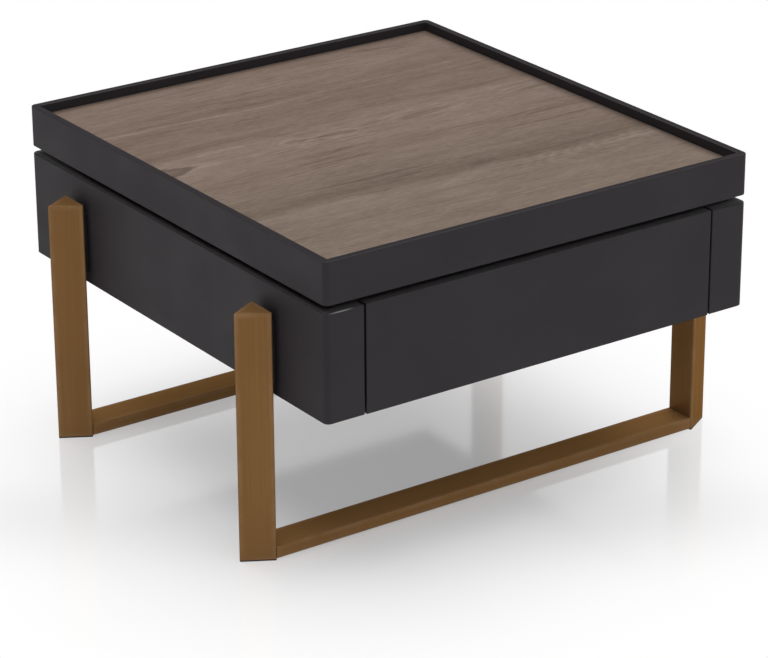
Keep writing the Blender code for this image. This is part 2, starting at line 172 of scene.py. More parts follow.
# Charcoal lacquer: its colours by mottle, a faint cloudiness, dust, and more gloss on the faces that look up
LACQUER_COLORS = ((0.25, (0.0206, 0.0171, 0.0204)), (0.75, (0.0237, 0.0197, 0.0235)))
CLOUD_TINT = (1.06, 1.05, 1.05)
DUST_RANGE = (0.66, 0.76)
DUST_SHARE = 0.08
DUST_COLOR = (0.100, 0.098, 0.098)
LACQUER_WEAR = {"edge_color": (0.085, 0.081, 0.084), "share": 0.12, "radius": 0.0013, "scale": 35.0}
LACQUER_SPECULAR = 0.32
LACQUER_ROUGHNESS = (0.56, 0.66)
PEEL_ROUGHNESS = 0.04
TOP_ROUGHNESS_SHARE = 0.50

# Painted light on the lacquer: a lighter ledge in the shadow gap, near its edge, and a lighter rim underside,
# which casts more light into the gap; and a painted highlight on the top edge of the left stile
LEDGE_DEPTH = 0.0003
LEDGE_FADE = (0.020, 0.009)
LEDGE_SIDE_SHARE = 0.56
LEDGE_EDGE = 0.006
LEDGE_EDGE_SHARE = 0.3
LEDGE_PAINTED_LIGHT = (0.105, 0.101, 0.104)
SOFFIT_DEPTH = RIM_EASE / 4
SOFFIT_PAINTED_LIGHT = (0.200, 0.195, 0.198)
PAINTED_GLINT_SIZE = (0.0240, 0.0017, 0.0015)
PAINTED_GLINT_INSET = 0.0007
PAINTED_GLINT_RANGE = (1.0, 0.3)
PAINTED_GLINT_SHARE = 0.70
PAINTED_GLINT_COLOR = (0.320, 0.312, 0.318)

# Brushed bronze: its colours by tone, the shares of brushing, broad streaks and cloudiness in that tone, edge
# wear widened into a painted highlight, and how metallic the legs and the bars are. Painted shade sets the legs
# darker and painted light the bars lighter; on the faces that look up, painted shade darkens the legs' caps and
# painted light brightens the bars' tops
BRONZE_COLORS = ((0.30, (0.236, 0.121, 0.043)), (0.52, (0.280, 0.148, 0.056)), (0.74, (0.324, 0.176, 0.071)))
BRONZE_SPECULAR_TINT = (0.62, 0.42, 0.24, 1.0)
BRUSHED_SHARE = 0.45
BROAD_SHARE = 0.30
CLOUD_SHARE = 0.25
BRONZE_WEAR_AND_HIGHLIGHT = {"edge_color": (0.370, 0.235, 0.130), "share": 0.60, "radius": 0.0090, "scale": 30.0}
BRONZE_ROUGHNESS = (0.40, 0.30)
BRONZE_CLOUD_ROUGHNESS = 0.10
LEG_METALLIC = 0.25
LEG_PAINTED_SHADE = 0.93
LEG_TOP_PAINTED_SHADE = 0.92
BAR_METALLIC = 0.08
BAR_PAINTED_LIGHT = 1.05
BAR_TOP_PAINTED_LIGHT = 1.35

# Boards, battens and fittings inside: colours, and roughness from the low to the high end of their grain
CARCASS_COLORS = ((0.034, 0.032, 0.033), (0.056, 0.053, 0.053))
DRAWER_COLORS = ((0.110, 0.090, 0.074), (0.185, 0.158, 0.134))
FACING_LINES = 0.6
FACING_STOPS = (0.32, 0.68)
FACING_WEAR = {"share": 0.30, "radius": 0.0010, "scale": 50.0}
FACING_WEAR_SHADE = 1.5
FACING_SPECULAR = 0.35
FACING_ROUGHNESS = (0.62, 0.50)
PINE_COLORS = ((0.2, (0.400, 0.240, 0.110)), (0.8, (0.640, 0.470, 0.280)))
PINE_RINGS = 46.0
PINE_RING_RANGE = (-0.5, 1.0)
PINE_RING_SHARE = 0.55
PINE_SPECULAR = 0.35
PINE_ROUGHNESS = (0.72, 0.58)
ZINC_COLORS = ((0.3, (0.420, 0.430, 0.445)), (0.7, (0.600, 0.610, 0.620)))
ZINC_SPANGLE = 170.0
ZINC_SPANGLE_SHARE = 0.12
ZINC_ROUGHNESS = (0.42, 0.26)
STEEL_COLORS = ((0.3, (0.060, 0.060, 0.064)), (0.7, (0.115, 0.113, 0.115)))
STEEL_WEAR = {"edge_color": (0.380, 0.375, 0.370), "share": 0.6, "radius": 0.0005, "scale": 300.0}
STEEL_ROUGHNESS = (0.50, 0.34)
PLASTIC_COLORS = ((0.35, (0.0100, 0.0100, 0.0105)), (0.75, (0.0200, 0.0198, 0.0200)))
PLASTIC_SPECULAR = 0.4
PLASTIC_ROUGHNESS = (0.66, 0.50)

# Floor: darkest round one place below the table, where it clears least, with a sheen that fades away from it
FLOOR_SIZE = 60.0
FLOOR_COLOR = (0.97, 0.96, 0.97, 1.0)
FLOOR_SPECULAR = 0.8
FLOOR_ROUGHNESS = 0.10
FLOOR_DARK_CENTRE = (-0.10, -0.06, 0.0)
FLOOR_DARK_HALF = (0.10, 0.10, 0.0)
FLOOR_CLEAR_REACH = 0.60
FLOOR_LIFT = 0.31
FLOOR_SHEEN = 0.20
FLOOR_SHEEN_FADE = (0.30, 0.62)

# White card behind the table for the floor's reflections, and the places along the view that mirror it
CARD_LEVEL = 0.95
CARD_PLACE = 0.64
CARD_HALF_WIDTH = 0.95
CARD_HEIGHT = 0.49
CARD_FADE = (0.36, 0.49)
CARD_REACH = (-0.52, -0.22)

# Light: the surround's level behind and in front of the table, and the lamp overhead
AMBIENT_BACK = 0.10
AMBIENT_FRONT = 0.60
AMBIENT_TURN = (0.5, -0.3)
OVERHEAD_FROM = (0.32, 0.95, 3.2)
OVERHEAD_SPREAD = math.radians(64)
OVERHEAD_STRENGTH = 2.05


class Finish:
    """A node material being put together round one Principled shader, on coordinates fixed to its piece."""

    def __init__(self, name, metallic=0.0, specular=0.5):
        self.material = bpy.data.materials.new(name)
        self.material.use_nodes = True
        self.tree = self.material.node_tree
        self.shader = self.tree.nodes["Principled BSDF"]
        self.shader.inputs["Metallic"].default_value = metallic
        self.shader.inputs["Specular IOR Level"].default_value = specular
        self.place = self.add("TexCoord").outputs["Object"]

    def add(self, kind, inputs=None, **settings):
        """A new node, with its settings made and its inputs set or linked by name or number."""
        node = self.tree.nodes.new("ShaderNode" + kind)
        for key, value in settings.items():
            setattr(node, key, value)
        for key, value in (inputs or {}).items():
            if isinstance(value, bpy.types.NodeSocket):
                self.tree.links.new(value, node.inputs[key])
            else:
                node.inputs[key].default_value = value
        return node

    def math(self, operation, first, second=0.0):
        """A calculation on one or two values."""
        return self.add("Math", {0: first, 1: second}, operation=operation).outputs[0]

    def joined(self, operation, values):
        """One calculation run through all the values."""
        return functools.reduce(functools.partial(self.math, operation), values)

    def sum(self, *values):
        """Values added up."""
        return self.joined("ADD", values)

    def product(self, *values):
        """Values multiplied."""
        return self.joined("MULTIPLY", values)

    def away(self, value, line):
        """How far a value is from a line, on either side."""
        return self.math("ABSOLUTE", self.math("SUBTRACT", value, line))

    def centred(self, value, reach):
        """How far a value is from 0.5, times a reach."""
        return self.product(self.math("SUBTRACT", value, 0.5), reach)

    def remap(self, value, low, high, to_low=0.0, to_high=1.0):
        """A value from one range to another, held at the ends and eased between them."""
        inputs = {"Value": value, "From Min": low, "From Max": high, "To Min": to_low, "To Max": to_high}
        return self.add("MapRange", inputs, interpolation_type="SMOOTHSTEP").outputs[0]

    def vector(self, operation, first, second=(0.0, 0.0, 0.0)):
        """A vector calculation that gives a vector, or a number where it measures one."""
        node = self.add("VectorMath", {0: first, 1: second}, operation=operation)
        return node.outputs["Value" if operation in ("LENGTH", "DOT_PRODUCT") else "Vector"]

    def axes(self, vector):
        """The three parts of a vector."""
        return self.add("SeparateXYZ", {0: vector}).outputs

    def scaled(self, scale, place=None):
        """The piece's coordinates times a scale for each axis."""
        return self.add("Mapping", {"Vector": place or self.place, "Scale": scale}).outputs[0]

    def noise(self, scale, detail=2.0, roughness=0.5, distortion=0.0, place=None):
        """Soft noise from 0 to 1, with its own scale for each axis."""
        inputs = {"Vector": self.scaled(scale, place), "Scale": 1.0, "Detail": detail,
                  "Roughness": roughness, "Distortion": distortion}
        return self.add("TexNoise", inputs).outputs[0]

    def grain(self, axis, along, fine, **settings):
        """Noise drawn out along one axis, with one scale along it and a finer one across it."""
        return self.noise(tuple(along if letter == axis else fine for letter in "XYZ"), **settings)

    def blend(self, factor, first, second, kind="MIX"):
        """Two colours mixed by a factor."""
        first, second = ((*color, 1.0) if isinstance(color, tuple) else color for color in (first, second))
        inputs = {0: factor, 6: first, 7: second}
        return self.add("Mix", inputs, data_type="RGBA", blend_type=kind).outputs[2]

    def tinted(self, color, tint):
        """A colour times a tint."""
        return self.blend(1.0, color, tint, "MULTIPLY")

    def ramp(self, value, stops):
        """Colours along a value, from pairs of position and colour, or of position and tone."""
        node = self.add("ValToRGB", {0: value})
        elements = node.color_ramp.elements
        while len(elements) < len(stops):
            elements.new(1.0)
        for element, (position, color) in zip(elements, stops):
            element.position = position
            element.color = (*color, 1.0) if isinstance(color, tuple) else (color, color, color, 1.0)
        return node.outputs[0]

    def upward(self, upright, level):
        """One value on upright faces, and another on the faces that look up."""
        return self.remap(self.axes(self.add("NewGeometry").outputs["Normal"])[2], *LOOKS_UP, upright, level)

    def edge_wear_and_highlight(self, color, edge_color, share, radius, scale):
        """A colour with a share of an edge colour along the edges, broken up by noise: wear, and a painted
        highlight.
        """
        rounded = self.add("Bevel", {"Radius": radius}, samples=BEVEL_SAMPLES).outputs[0]
        facing = self.vector("DOT_PRODUCT", rounded, self.add("NewGeometry").outputs["Normal"])
        broken = self.remap(self.noise((scale,) * 3, detail=3.0), *WEAR_AND_HIGHLIGHT_RANGE, WEAR_AND_HIGHLIGHT_LEAST, 1.0)
        return self.blend(self.product(self.remap(facing, *EDGE_TURN), broken, share), color, edge_color)

    def finish(self, color, roughness, height, bump, depth):
        """Join colour, roughness and surface height to the shader."""
        raised = self.add("Bump", {"Strength": bump, "Distance": depth, "Height": height}).outputs[0]
        for name, value in (("Base Color", color), ("Roughness", roughness), ("Normal", raised)):
            self.tree.links.new(value, self.shader.inputs[name])
        return self.material

    def finish_one_sided(self, shader):
        """Show a shader on the front of the faces, and nothing on their back."""
        behind = self.add("NewGeometry").outputs["Backfacing"]
        sided = self.add("MixShader", {0: behind, 1: shader, 2: self.add("BsdfTransparent").outputs[0]})
        self.tree.links.new(sided.outputs[0], self.tree.nodes["Material Output"].inputs["Surface"])
        return self.material


def oak_bands(oak, x, across):
    """Tone of the veneer's bands, with the pale line."""
    position = oak.sum(oak.math("DIVIDE", across, VENEER_WIDTH), 0.5)
    bands = oak.ramp(position, [(0.5 + at / VENEER_WIDTH, tone) for at, tone in VENEER_BANDS])
    pale = oak.remap(oak.away(across, PALE_LINE), PALE_LINE_HALF, 0.0)
    fading = oak.remap(x, *PALE_LINE_FADE, 1.0, PALE_LINE_END)
    return oak.sum(bands, oak.product(pale, fading, PALE_LINE_TONE))


def oak_eyes(oak, x, across):
    """What the row of eyes adds to the tone."""
    heart = oak.math("DIVIDE", oak.away(across, HEART_LINE), EYE_HEIGHT)
    reaches = []
    for middle, half in EYES:
        along = oak.math("DIVIDE", oak.math("SUBTRACT", x, middle), half)
        reaches.append(oak.sum(oak.math("POWER", along, 2.0), heart))
    ragged = oak.centred(oak.grain("X", 26.0, 160.0, detail=3.0, roughness=0.6), EYE_RAGGED)
    nearest = oak.sum(oak.joined("MINIMUM", reaches), ragged)
    rings = oak.ramp(oak.math("DIVIDE", nearest, EYE_REACH), EYE_RINGS)
    return oak.math("SUBTRACT", rings, 0.5)


def oak_arches(oak, x, across):
    """What the arched grain adds to the tone."""
    aside = oak.math("SUBTRACT", across, ARCH_LINE)
    bend = oak.product(oak.math("POWER", aside, 2.0), ARCH_BEND)
    drift = oak.centred(oak.grain("X", 9.0, 26.0, detail=4.0, roughness=0.62), ARCH_DRIFT)
    phase = oak.sum(oak.math("SUBTRACT", x, bend), drift)
    arches = oak.math("SINE", oak.product(phase, math.tau / ARCH_SPACING))
    beside = oak.remap(oak.math("ABSOLUTE", aside), ARCH_REACH, ARCH_REACH / 3)
    return oak.product(arches, beside, oak.remap(x, *ARCH_START), ARCH_TONE)


def oak_knot(oak, x, across):
    """Where the knot is, and where its halo is."""
    rise = oak.math("DIVIDE", oak.away(across, KNOT_LINE), KNOT_HALF)
    run = oak.math("DIVIDE", oak.math("SUBTRACT", x, KNOT_START), KNOT_LENGTH)
    frayed = oak.centred(oak.grain("X", 45.0, 150.0, detail=4.0, roughness=0.65), KNOT_FRAY)
    distance = oak.sum(oak.math("POWER", rise, KNOT_POINT), run, frayed)
    core = oak.remap(distance, *KNOT_CORE, KNOT_CORE_SHARE, 1.0)
    knot = oak.product(oak.remap(distance, *KNOT_EDGE), core)
    halo = oak.product(oak.remap(distance, *HALO_EDGE), oak.math("SUBTRACT", 1.0, knot))
    return knot, halo


def grey_oak():
    """Grey-brown oak veneer, its grain along X: soft bands, a row of eyes, a knot, arches, flecks and pores."""
    oak = Finish("grey_oak_veneer", specular=OAK_SPECULAR)
    x, y, _ = oak.axes(oak.place)
    waves = oak.centred(oak.grain("X", 2.6, 7.0), WAVE_SWAY)
    ruffle = oak.centred(oak.grain("X", 16.0, 55.0, detail=4.0, roughness=0.6), RUFFLE_SWAY)
    sway = oak.sum(waves, ruffle)
    across = oak.sum(y, sway)
    knot, halo = oak_knot(oak, x, across)

    fleck = oak.grain("X", 75.0, 420.0, detail=4.0, roughness=0.6)
    fibre = oak.grain("X", 15.0, 330.0, detail=5.0, roughness=0.62)
    streak = oak.grain("X", 3.6, 38.0, detail=4.0, roughness=0.6, distortion=0.3)
    mottle = oak.grain("X", 15.0, 52.0, detail=4.0, roughness=0.6, distortion=0.4)
    pores = oak.remap(oak.grain("X", 48.0, 1400.0), *PORE_RANGE)
    patches = oak.remap(oak.grain("X", 4.0, 13.0), *PATCH_RANGE)
    swayed = oak.vector("ADD", oak.place, oak.add("CombineXYZ", {1: sway}).outputs[0])
    lines = oak.remap(oak.grain("X", 6.0, 190.0, place=swayed), *LINE_RANGE)
    tone = oak.sum(oak_bands(oak, x, across), oak_eyes(oak, x, across), oak_arches(oak, x, across),
                   oak.product(lines, patches, LINE_TONE), oak.product(halo, HALO_TONE),
                   oak.centred(fleck, FLECK_TONE), oak.centred(fibre, FIBRE_TONE),
                   oak.centred(streak, STREAK_TONE), oak.centred(mottle, MOTTLE_TONE))

    color = oak.ramp(tone, OAK_COLORS)
    drift = oak.centred(oak.grain("X", 1.6, 6.0), CAST_DRIFT)
    olive = oak.remap(oak.sum(y, drift), *CAST_TURN)
    color = oak.blend(olive, oak.tinted(color, WARM_TINT), oak.tinted(color, OLIVE_TINT))
    color = oak.blend(oak.product(pores, PORE_SHARE), color, PORE_COLOR)
    color = oak.blend(oak.product(knot, KNOT_SHARE), color, KNOT_COLOR)
    # Painted shade: the oak is darkened within a short reach of the rails, as if in their shadow
    low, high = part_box("top_panel")
    inside = oak.math("MINIMUM", oak.math("SUBTRACT", (high.x - low.x) / 2, oak.math("ABSOLUTE", x)),
                      oak.math("SUBTRACT", (high.y - low.y) / 2, oak.math("ABSOLUTE", y)))
    color = oak.blend(oak.remap(inside, RAIL_PAINTED_SHADE_REACH, 0.0, 0.0, RAIL_PAINTED_SHADE_SHARE), color, RAIL_PAINTED_SHADE_COLOR)
    color = oak.edge_wear_and_highlight(color, **OAK_WEAR)
    roughness = oak.remap(fibre, *FIBRE_RANGE, *OAK_ROUGHNESS)
    height = oak.math("SUBTRACT", oak.product(fibre, FIBRE_HEIGHT), pores)
    return oak.finish(color, roughness, height, bump=0.20, depth=0.0003)


def painted_ledge_light(paint):
    """Where light is painted on the cabinet's top: a lighter strip all round, near its edge."""
    x, y, level = paint.axes(paint.place)
    low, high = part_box("stile_left")
    sides = paint.math("DIVIDE", paint.math("SUBTRACT", -low.x, paint.math("ABSOLUTE", x)), LEDGE_SIDE_SHARE)
    ends = paint.math("MINIMUM", paint.math("SUBTRACT", y, low.y),
                      paint.math("SUBTRACT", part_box("cabinet_back")[1].y, y))
    inside = paint.math("MINIMUM", sides, ends)
    return paint.product(paint.remap(paint.away(level, high.z), LEDGE_DEPTH, 0.0),
                         paint.remap(inside, *LEDGE_FADE),
                         paint.remap(inside, 0.0, LEDGE_EDGE, LEDGE_EDGE_SHARE, 1.0))


def painted_soffit_light(paint):
    """Where light is painted, on the underside of the tray's rim."""
    level = paint.axes(paint.place)[2]
    return paint.remap(paint.away(level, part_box("tray_rail_front")[0].z), SOFFIT_DEPTH, 0.0)


def painted_glint(paint):
    """Where a painted highlight lies, on the top edge of the left stile."""
    low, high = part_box("stile_left")
    middle = (low.x + PAINTED_GLINT_SIZE[0], low.y + PAINTED_GLINT_INSET, high.z - PAINTED_GLINT_INSET)
    offset = paint.vector("SUBTRACT", paint.place, middle)
    distance = paint.vector("LENGTH", paint.scaled(tuple(1 / size for size in PAINTED_GLINT_SIZE), offset))
    return paint.remap(distance, *PAINTED_GLINT_RANGE, 0.0, PAINTED_GLINT_SHARE)


def charcoal_lacquer():
    """Matt charcoal lacquer with a faint mottle, orange peel and slightly rubbed edges, and painted light and
    highlight.
    """
    paint = Finish("charcoal_lacquer", specular=LACQUER_SPECULAR)
    mottle = paint.noise((7.0, 7.0, 9.0), detail=4.0, roughness=0.6)
    cloud = paint.noise((1.7, 1.7, 2.3))
    peel = paint.noise((620.0, 620.0, 620.0))
    dust = paint.remap(paint.noise((240.0, 240.0, 240.0)), *DUST_RANGE)
    color = paint.ramp(mottle, LACQUER_COLORS)
    color = paint.blend(paint.remap(cloud, *NOISE_RANGE), color, paint.tinted(color, CLOUD_TINT))
    color = paint.blend(paint.product(dust, DUST_SHARE), color, DUST_COLOR)
    color = paint.edge_wear_and_highlight(color, **LACQUER_WEAR)
    # Painted light in the shadow gap, on the ledge and the rim's underside, and a painted highlight on the left
    # stile
    color = paint.blend(painted_ledge_light(paint), color, LEDGE_PAINTED_LIGHT)
    color = paint.blend(painted_soffit_light(paint), color, SOFFIT_PAINTED_LIGHT)
    color = paint.blend(painted_glint(paint), color, PAINTED_GLINT_COLOR)
    roughness = paint.sum(paint.remap(mottle, *NOISE_RANGE, *LACQUER_ROUGHNESS),
                          paint.product(peel, PEEL_ROUGHNESS))
    roughness = paint.product(roughness, paint.upward(1.0, TOP_ROUGHNESS_SHARE))
    return paint.finish(color, roughness, peel, bump=0.05, depth=0.0002)


def bronze(axis, metallic, painted_shading, painted_top_shading):
    """Satin bronze, brushed along one axis, lighter along the edges: edge wear widened into a painted highlight.

    Its colour is scaled by a painted shading, and by another on the faces that look up: painted light and shade.
    """
    metal = Finish(f"brushed_bronze_{axis.lower()}", metallic=metallic, specular=0.0)
    metal.shader.inputs["Specular Tint"].default_value = BRONZE_SPECULAR_TINT
    brushed = metal.grain(axis, 5.0, 900.0, detail=4.0, roughness=0.6)
    broad = metal.grain(axis, 1.3, 55.0, detail=3.0, roughness=0.55)
    cloud = metal.noise((6.0, 6.0, 6.0), detail=3.0, roughness=0.55)
    tone = metal.sum(metal.product(brushed, BRUSHED_SHARE), metal.product(broad, BROAD_SHARE),
                     metal.product(cloud, CLOUD_SHARE))
    # Painted shading scales the colours: darker on the legs, lighter on the bars
    color = metal.ramp(tone, [(at, tuple(painted_shading * part for part in shown)) for at, shown in BRONZE_COLORS])
    # Edge wear, widened into a painted highlight along the edges
    color = metal.edge_wear_and_highlight(color, **BRONZE_WEAR_AND_HIGHLIGHT)
    # Painted light on the bars' tops and painted shade on the legs' caps, on the faces that look up
    color = metal.blend(metal.upward(0.0, 1.0), color, metal.tinted(color, (painted_top_shading,) * 3))
    roughness = metal.sum(metal.remap(brushed, *NOISE_RANGE, *BRONZE_ROUGHNESS),
                          metal.product(cloud, BRONZE_CLOUD_ROUGHNESS))
    return metal.finish(color, roughness, brushed, bump=0.10, depth=0.0002)


def faced_board(name, axis, dark, light):
    """Board with a printed wood-grain facing: low contrast, fine lines along one axis."""
    facing = Finish(name, specular=FACING_SPECULAR)
    lines = facing.grain(axis, 4.0, 210.0, detail=5.0, roughness=0.6)
    bands = facing.grain(axis, 0.9, 16.0, detail=3.0, distortion=0.3)
    tone = facing.sum(facing.product(lines, FACING_LINES), facing.product(bands, 1 - FACING_LINES))
    color = facing.ramp(tone, list(zip(FACING_STOPS, (dark, light))))
    color = facing.edge_wear_and_highlight(color, tuple(FACING_WEAR_SHADE * part for part in light), **FACING_WEAR)
    roughness = facing.remap(lines, *NOISE_RANGE, *FACING_ROUGHNESS)
    return facing.finish(color, roughness, lines, bump=0.10, depth=0.0002)


def pine():
    """Planed pine batten, its grain along Y, with growth lines and soft flecks."""
    wood = Finish("planed_pine", specular=PINE_SPECULAR)
    field = wood.grain("Y", 1.1, 24.0, distortion=0.3)
    rings = wood.remap(wood.math("SINE", wood.product(field, PINE_RINGS)), *PINE_RING_RANGE)
    fibre = wood.grain("Y", 9.0, 420.0, detail=4.0, roughness=0.6)
    tone = wood.sum(wood.product(rings, PINE_RING_SHARE), wood.product(fibre, 1 - PINE_RING_SHARE))
    roughness = wood.remap(fibre, *NOISE_RANGE, *PINE_ROUGHNESS)
    return wood.finish(wood.ramp(tone, PINE_COLORS), roughness, fibre, bump=0.25, depth=0.0003)


def zinc_steel():
    """Zinc-plated steel with a faint spangle and drawing lines along Y."""
    zinc = Finish("zinc_plated_steel", metallic=1.0)
    spangle = zinc.add("TexVoronoi", {"Vector": zinc.place, "Scale": ZINC_SPANGLE}).outputs["Color"]
    drawn = zinc.grain("Y", 6.0, 800.0, detail=3.0, roughness=0.6)
    color = zinc.blend(ZINC_SPANGLE_SHARE, zinc.ramp(drawn, ZINC_COLORS), spangle, "SOFT_LIGHT")
    roughness = zinc.remap(drawn, *NOISE_RANGE, *ZINC_ROUGHNESS)
    return zinc.finish(color, roughness, drawn, bump=0.08, depth=0.0002)


def dark_steel():
    """Blackened steel of the screws and bolts, rubbed bright at the edges."""
    steel = Finish("blackened_steel", metallic=1.0)
    grain = steel.noise((700.0, 700.0, 700.0), detail=3.0, roughness=0.6)
    color = steel.edge_wear_and_highlight(steel.ramp(grain, STEEL_COLORS), **STEEL_WEAR)
    roughness = steel.remap(grain, *NOISE_RANGE, *STEEL_ROUGHNESS)
    return steel.finish(color, roughness, grain, bump=0.08, depth=0.0001)


def black_plastic():
    """Matt moulded plastic with a fine spark-eroded grain."""
    plastic = Finish("black_plastic", specular=PLASTIC_SPECULAR)
    grain = plastic.noise((900.0, 900.0, 900.0), detail=3.0, roughness=0.55)
    scuff = plastic.noise((60.0, 60.0, 60.0), detail=4.0, roughness=0.6)
    roughness = plastic.remap(grain, *NOISE_RANGE, *PLASTIC_ROUGHNESS)
    return plastic.finish(plastic.ramp(scuff, PLASTIC_COLORS), roughness, grain, bump=0.15, depth=0.0002)


def make_finishes():
    """Every finish of the object by name."""
    return {
        "grey_oak": grey_oak(),
        "charcoal_paint": charcoal_lacquer(),
        "bronze_legs": bronze("Z", LEG_METALLIC, LEG_PAINTED_SHADE, LEG_TOP_PAINTED_SHADE),
        "bronze_bars": bronze("X", BAR_METALLIC, BAR_PAINTED_LIGHT, BAR_TOP_PAINTED_LIGHT),
        "carcass_board": faced_board("carcass_facing", "Y", *CARCASS_COLORS),
        "drawer_sides": faced_board("drawer_facing_y", "Y", *DRAWER_COLORS),
        "drawer_ends": faced_board("drawer_facing_x", "X", *DRAWER_COLORS),
        "pine": pine(),
        "zinc_steel": zinc_steel(),
        "dark_steel": dark_steel(),
        "black_plastic": black_plastic(),
    }


def box_round(*names):
    """Lowest and highest corner round several solids."""
    boxes = [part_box(name) for name in names]
    low = Vector(min(box[0][axis] for box in boxes) for axis in range(3))
    high = Vector(max(box[1][axis] for box in boxes) for axis in range(3))
    return low, high


def bolt_middles(tag):
    """The middles of a leg's two bolts."""
    boxes = [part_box(f"leg_bolt_{tag}_{level}") for level in ("lower", "upper")]
    return [(low + high) / 2 for low, high in boxes]


def arc(centre, radius, start, end, steps):
    """Points on an arc between two angles in degrees."""
    angles = (math.radians(start + (end - start) * step / steps) for step in range(steps + 1))
    return [(centre[0] + radius * math.cos(angle), centre[1] + radius * math.sin(angle)) for angle in angles]


def rounded_rectangle(low, high, radius, steps=EASE_STEPS):
    """Outline of a rectangle with round corners, from its lowest and highest corner."""
    corners = [(high[0] - radius, high[1] - radius, 0), (low[0] + radius, high[1] - radius, 90),
               (low[0] + radius, low[1] + radius, 180), (high[0] - radius, low[1] + radius, 270)]
    return [point for x, y, turn in corners for point in arc((x, y), radius, turn, turn + 90, steps)]


def rounded_triangle(height, radius, inset=0.0, steps=2 * EASE_STEPS):
    """Outline of an equilateral tube, its flat on the Y axis and its rounded ridge at x = height."""
    inradius = (height + radius) / 3
    reach = 2 * (inradius - radius)
    points = []
    for turn in (0, 120, 240):
        angle = math.radians(turn)
        centre = (inradius + reach * math.cos(angle), reach * math.sin(angle))
        points += arc(centre, radius - inset, turn - 60, turn + 60, steps)
    return points


def add_object(name, data):
    """A new object in the scene."""
    made = bpy.data.objects.new(name, data)
    bpy.context.scene.collection.objects.link(made)
    return made


def add_piece(name, mesh, finish, slot, body, *nodes):
    """A new piece in place of one or more solids, riding on their body."""
    piece = add_object(name, mesh)
    mesh.materials.append(finish)
    weighted = piece.modifiers.new("weighted normals", "WEIGHTED_NORMAL")
    weighted.keep_sharp = True
    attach(piece, body)
    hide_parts(*nodes)


def keep_shape(shape, mesh):
    """Store an edited shape in a mesh, smooth between its sharp edges."""
    shape.to_mesh(mesh)
    shape.free()
    mesh.shade_smooth()
    mesh.set_sharp_from_angle(angle=SHARP_ANGLE)


def loft(name, loops, ring=False):
    """A closed skin through loops of equal count, capped at both ends or joined into a ring."""
    shape = bmesh.new()
    rows = [[shape.verts.new(point) for point in loop] for loop in loops]
    pairs = list(zip(rows, rows[1:]))
    if ring:
        pairs.append((rows[-1], rows[0]))
    else:
        shape.faces.new(rows[0])
        shape.faces.new(rows[-1])
    for near, far in pairs:
        for index, vertex in enumerate(near):
            shape.faces.new((near[index - 1], vertex, far[index], far[index - 1]))
    bmesh.ops.recalc_face_normals(shape, faces=shape.faces)
    mesh = bpy.data.meshes.new(name)
    keep_shape(shape, mesh)
    return mesh


def drilled(mesh, holes):
    """The mesh with round holes along X, each given by a start, an end, y and z."""
    body = add_object("drilled", mesh)
    cutters = []
    for start, end, y, z in holes:
        circle = arc((y, z), BOLT_HOLE_RADIUS, 0, 360 - 360 / ROUND_STEPS, ROUND_STEPS - 1)
        cutter = add_object("hole", loft("hole", [[(x, *point) for point in circle] for x in (start, end)]))
        cut = body.modifiers.new("hole", "BOOLEAN")
        cut.object = cutter
        cutters.append(cutter)
    result = bpy.data.meshes.new_from_object(body.evaluated_get(bpy.context.evaluated_depsgraph_get()))
    for helper in (body, *cutters):
        bpy.data.objects.remove(helper)
    return result


def soften(mesh, width, level=None):
    """Ease the mesh's sharp edges to a width: all of them, or those at one level."""
    shape = bmesh.new()
    shape.from_mesh(mesh)
    sharp = [edge for edge in shape.edges if edge.calc_face_angle(0) > SHARP_ANGLE]
    if level is not None:
        sharp = [edge for edge in sharp if all(abs(end.co.z - level) < WELD_DISTANCE for end in edge.verts)]
    bmesh.ops.bevel(shape, geom=sharp, offset=width, segments=EASE_STEPS, profile=0.5, affect="EDGES")
    keep_shape(shape, mesh)


def build_tray_rim():
    """One seamless rim with eased edges, where the solids are four mitred rails."""
    rails = [f"tray_rail_{side}" for side in ENDS + SIDES]
    low, high = box_round(*rails)
    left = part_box("tray_rail_left")
    thickness = left[1].x - left[0].x
    profile = rounded_rectangle((0, low.z), (thickness, high.z), RIM_EASE)
    loops = []
    for inset, z in profile:
        corner = max(RIM_CORNER - inset, RIM_INNER_CORNER)
        plan = rounded_rectangle((low.x + inset, low.y + inset), (high.x - inset, high.y - inset), corner)
        loops.append([(x, y, z) for x, y in plan])
    mesh = loft("tray_rim", loops, ring=True)
    add_piece("tray_rim", mesh, FINISHES["charcoal_paint"], "charcoal_paint", "table", *rails)


def build_cabinet_shell():
    """Sides, back and stiles as one lacquered shell, open at the front for the drawer, drilled for the bolts."""
    boards = ["cabinet_side_left", "cabinet_side_right", "cabinet_back", "stile_left", "stile_right"]
    low, high = box_round(*boards)
    thickness = high.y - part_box("cabinet_back")[0].y
    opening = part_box("stile_right")[0].x
    centre = high.x - CABINET_CORNER
    outer = [(opening, low.y),
             *arc((centre, low.y + CABINET_CORNER), CABINET_CORNER, -90, 0, EASE_STEPS),
             *arc((centre, high.y - CABINET_CORNER), CABINET_CORNER, 0, 90, EASE_STEPS)]
    inner = [(high.x - thickness, high.y - thickness), (high.x - thickness, low.y + thickness),
             (opening, low.y + thickness)]
    outer_mirror, inner_mirror = ([(-x, y) for x, y in reversed(half)] for half in (outer, inner))
    plan = outer + outer_mirror + inner_mirror + inner
    mesh = loft("cabinet_shell", [[(x, y, z) for x, y in plan] for z in (low.z, high.z)])
    soften(mesh, CABINET_TOP_EASE, high.z)
    soften(mesh, CABINET_EASE)
    holes = []
    for middle in (middle for tag in TAGS for middle in bolt_middles(tag)):
        side = math.copysign(high.x, middle.x)
        holes.append((side - 2 * thickness, side + thickness, middle.y, middle.z))
    mesh = drilled(mesh, holes)
    add_piece("cabinet_shell", mesh, FINISHES["charcoal_paint"], "charcoal_paint", "table", *boards)


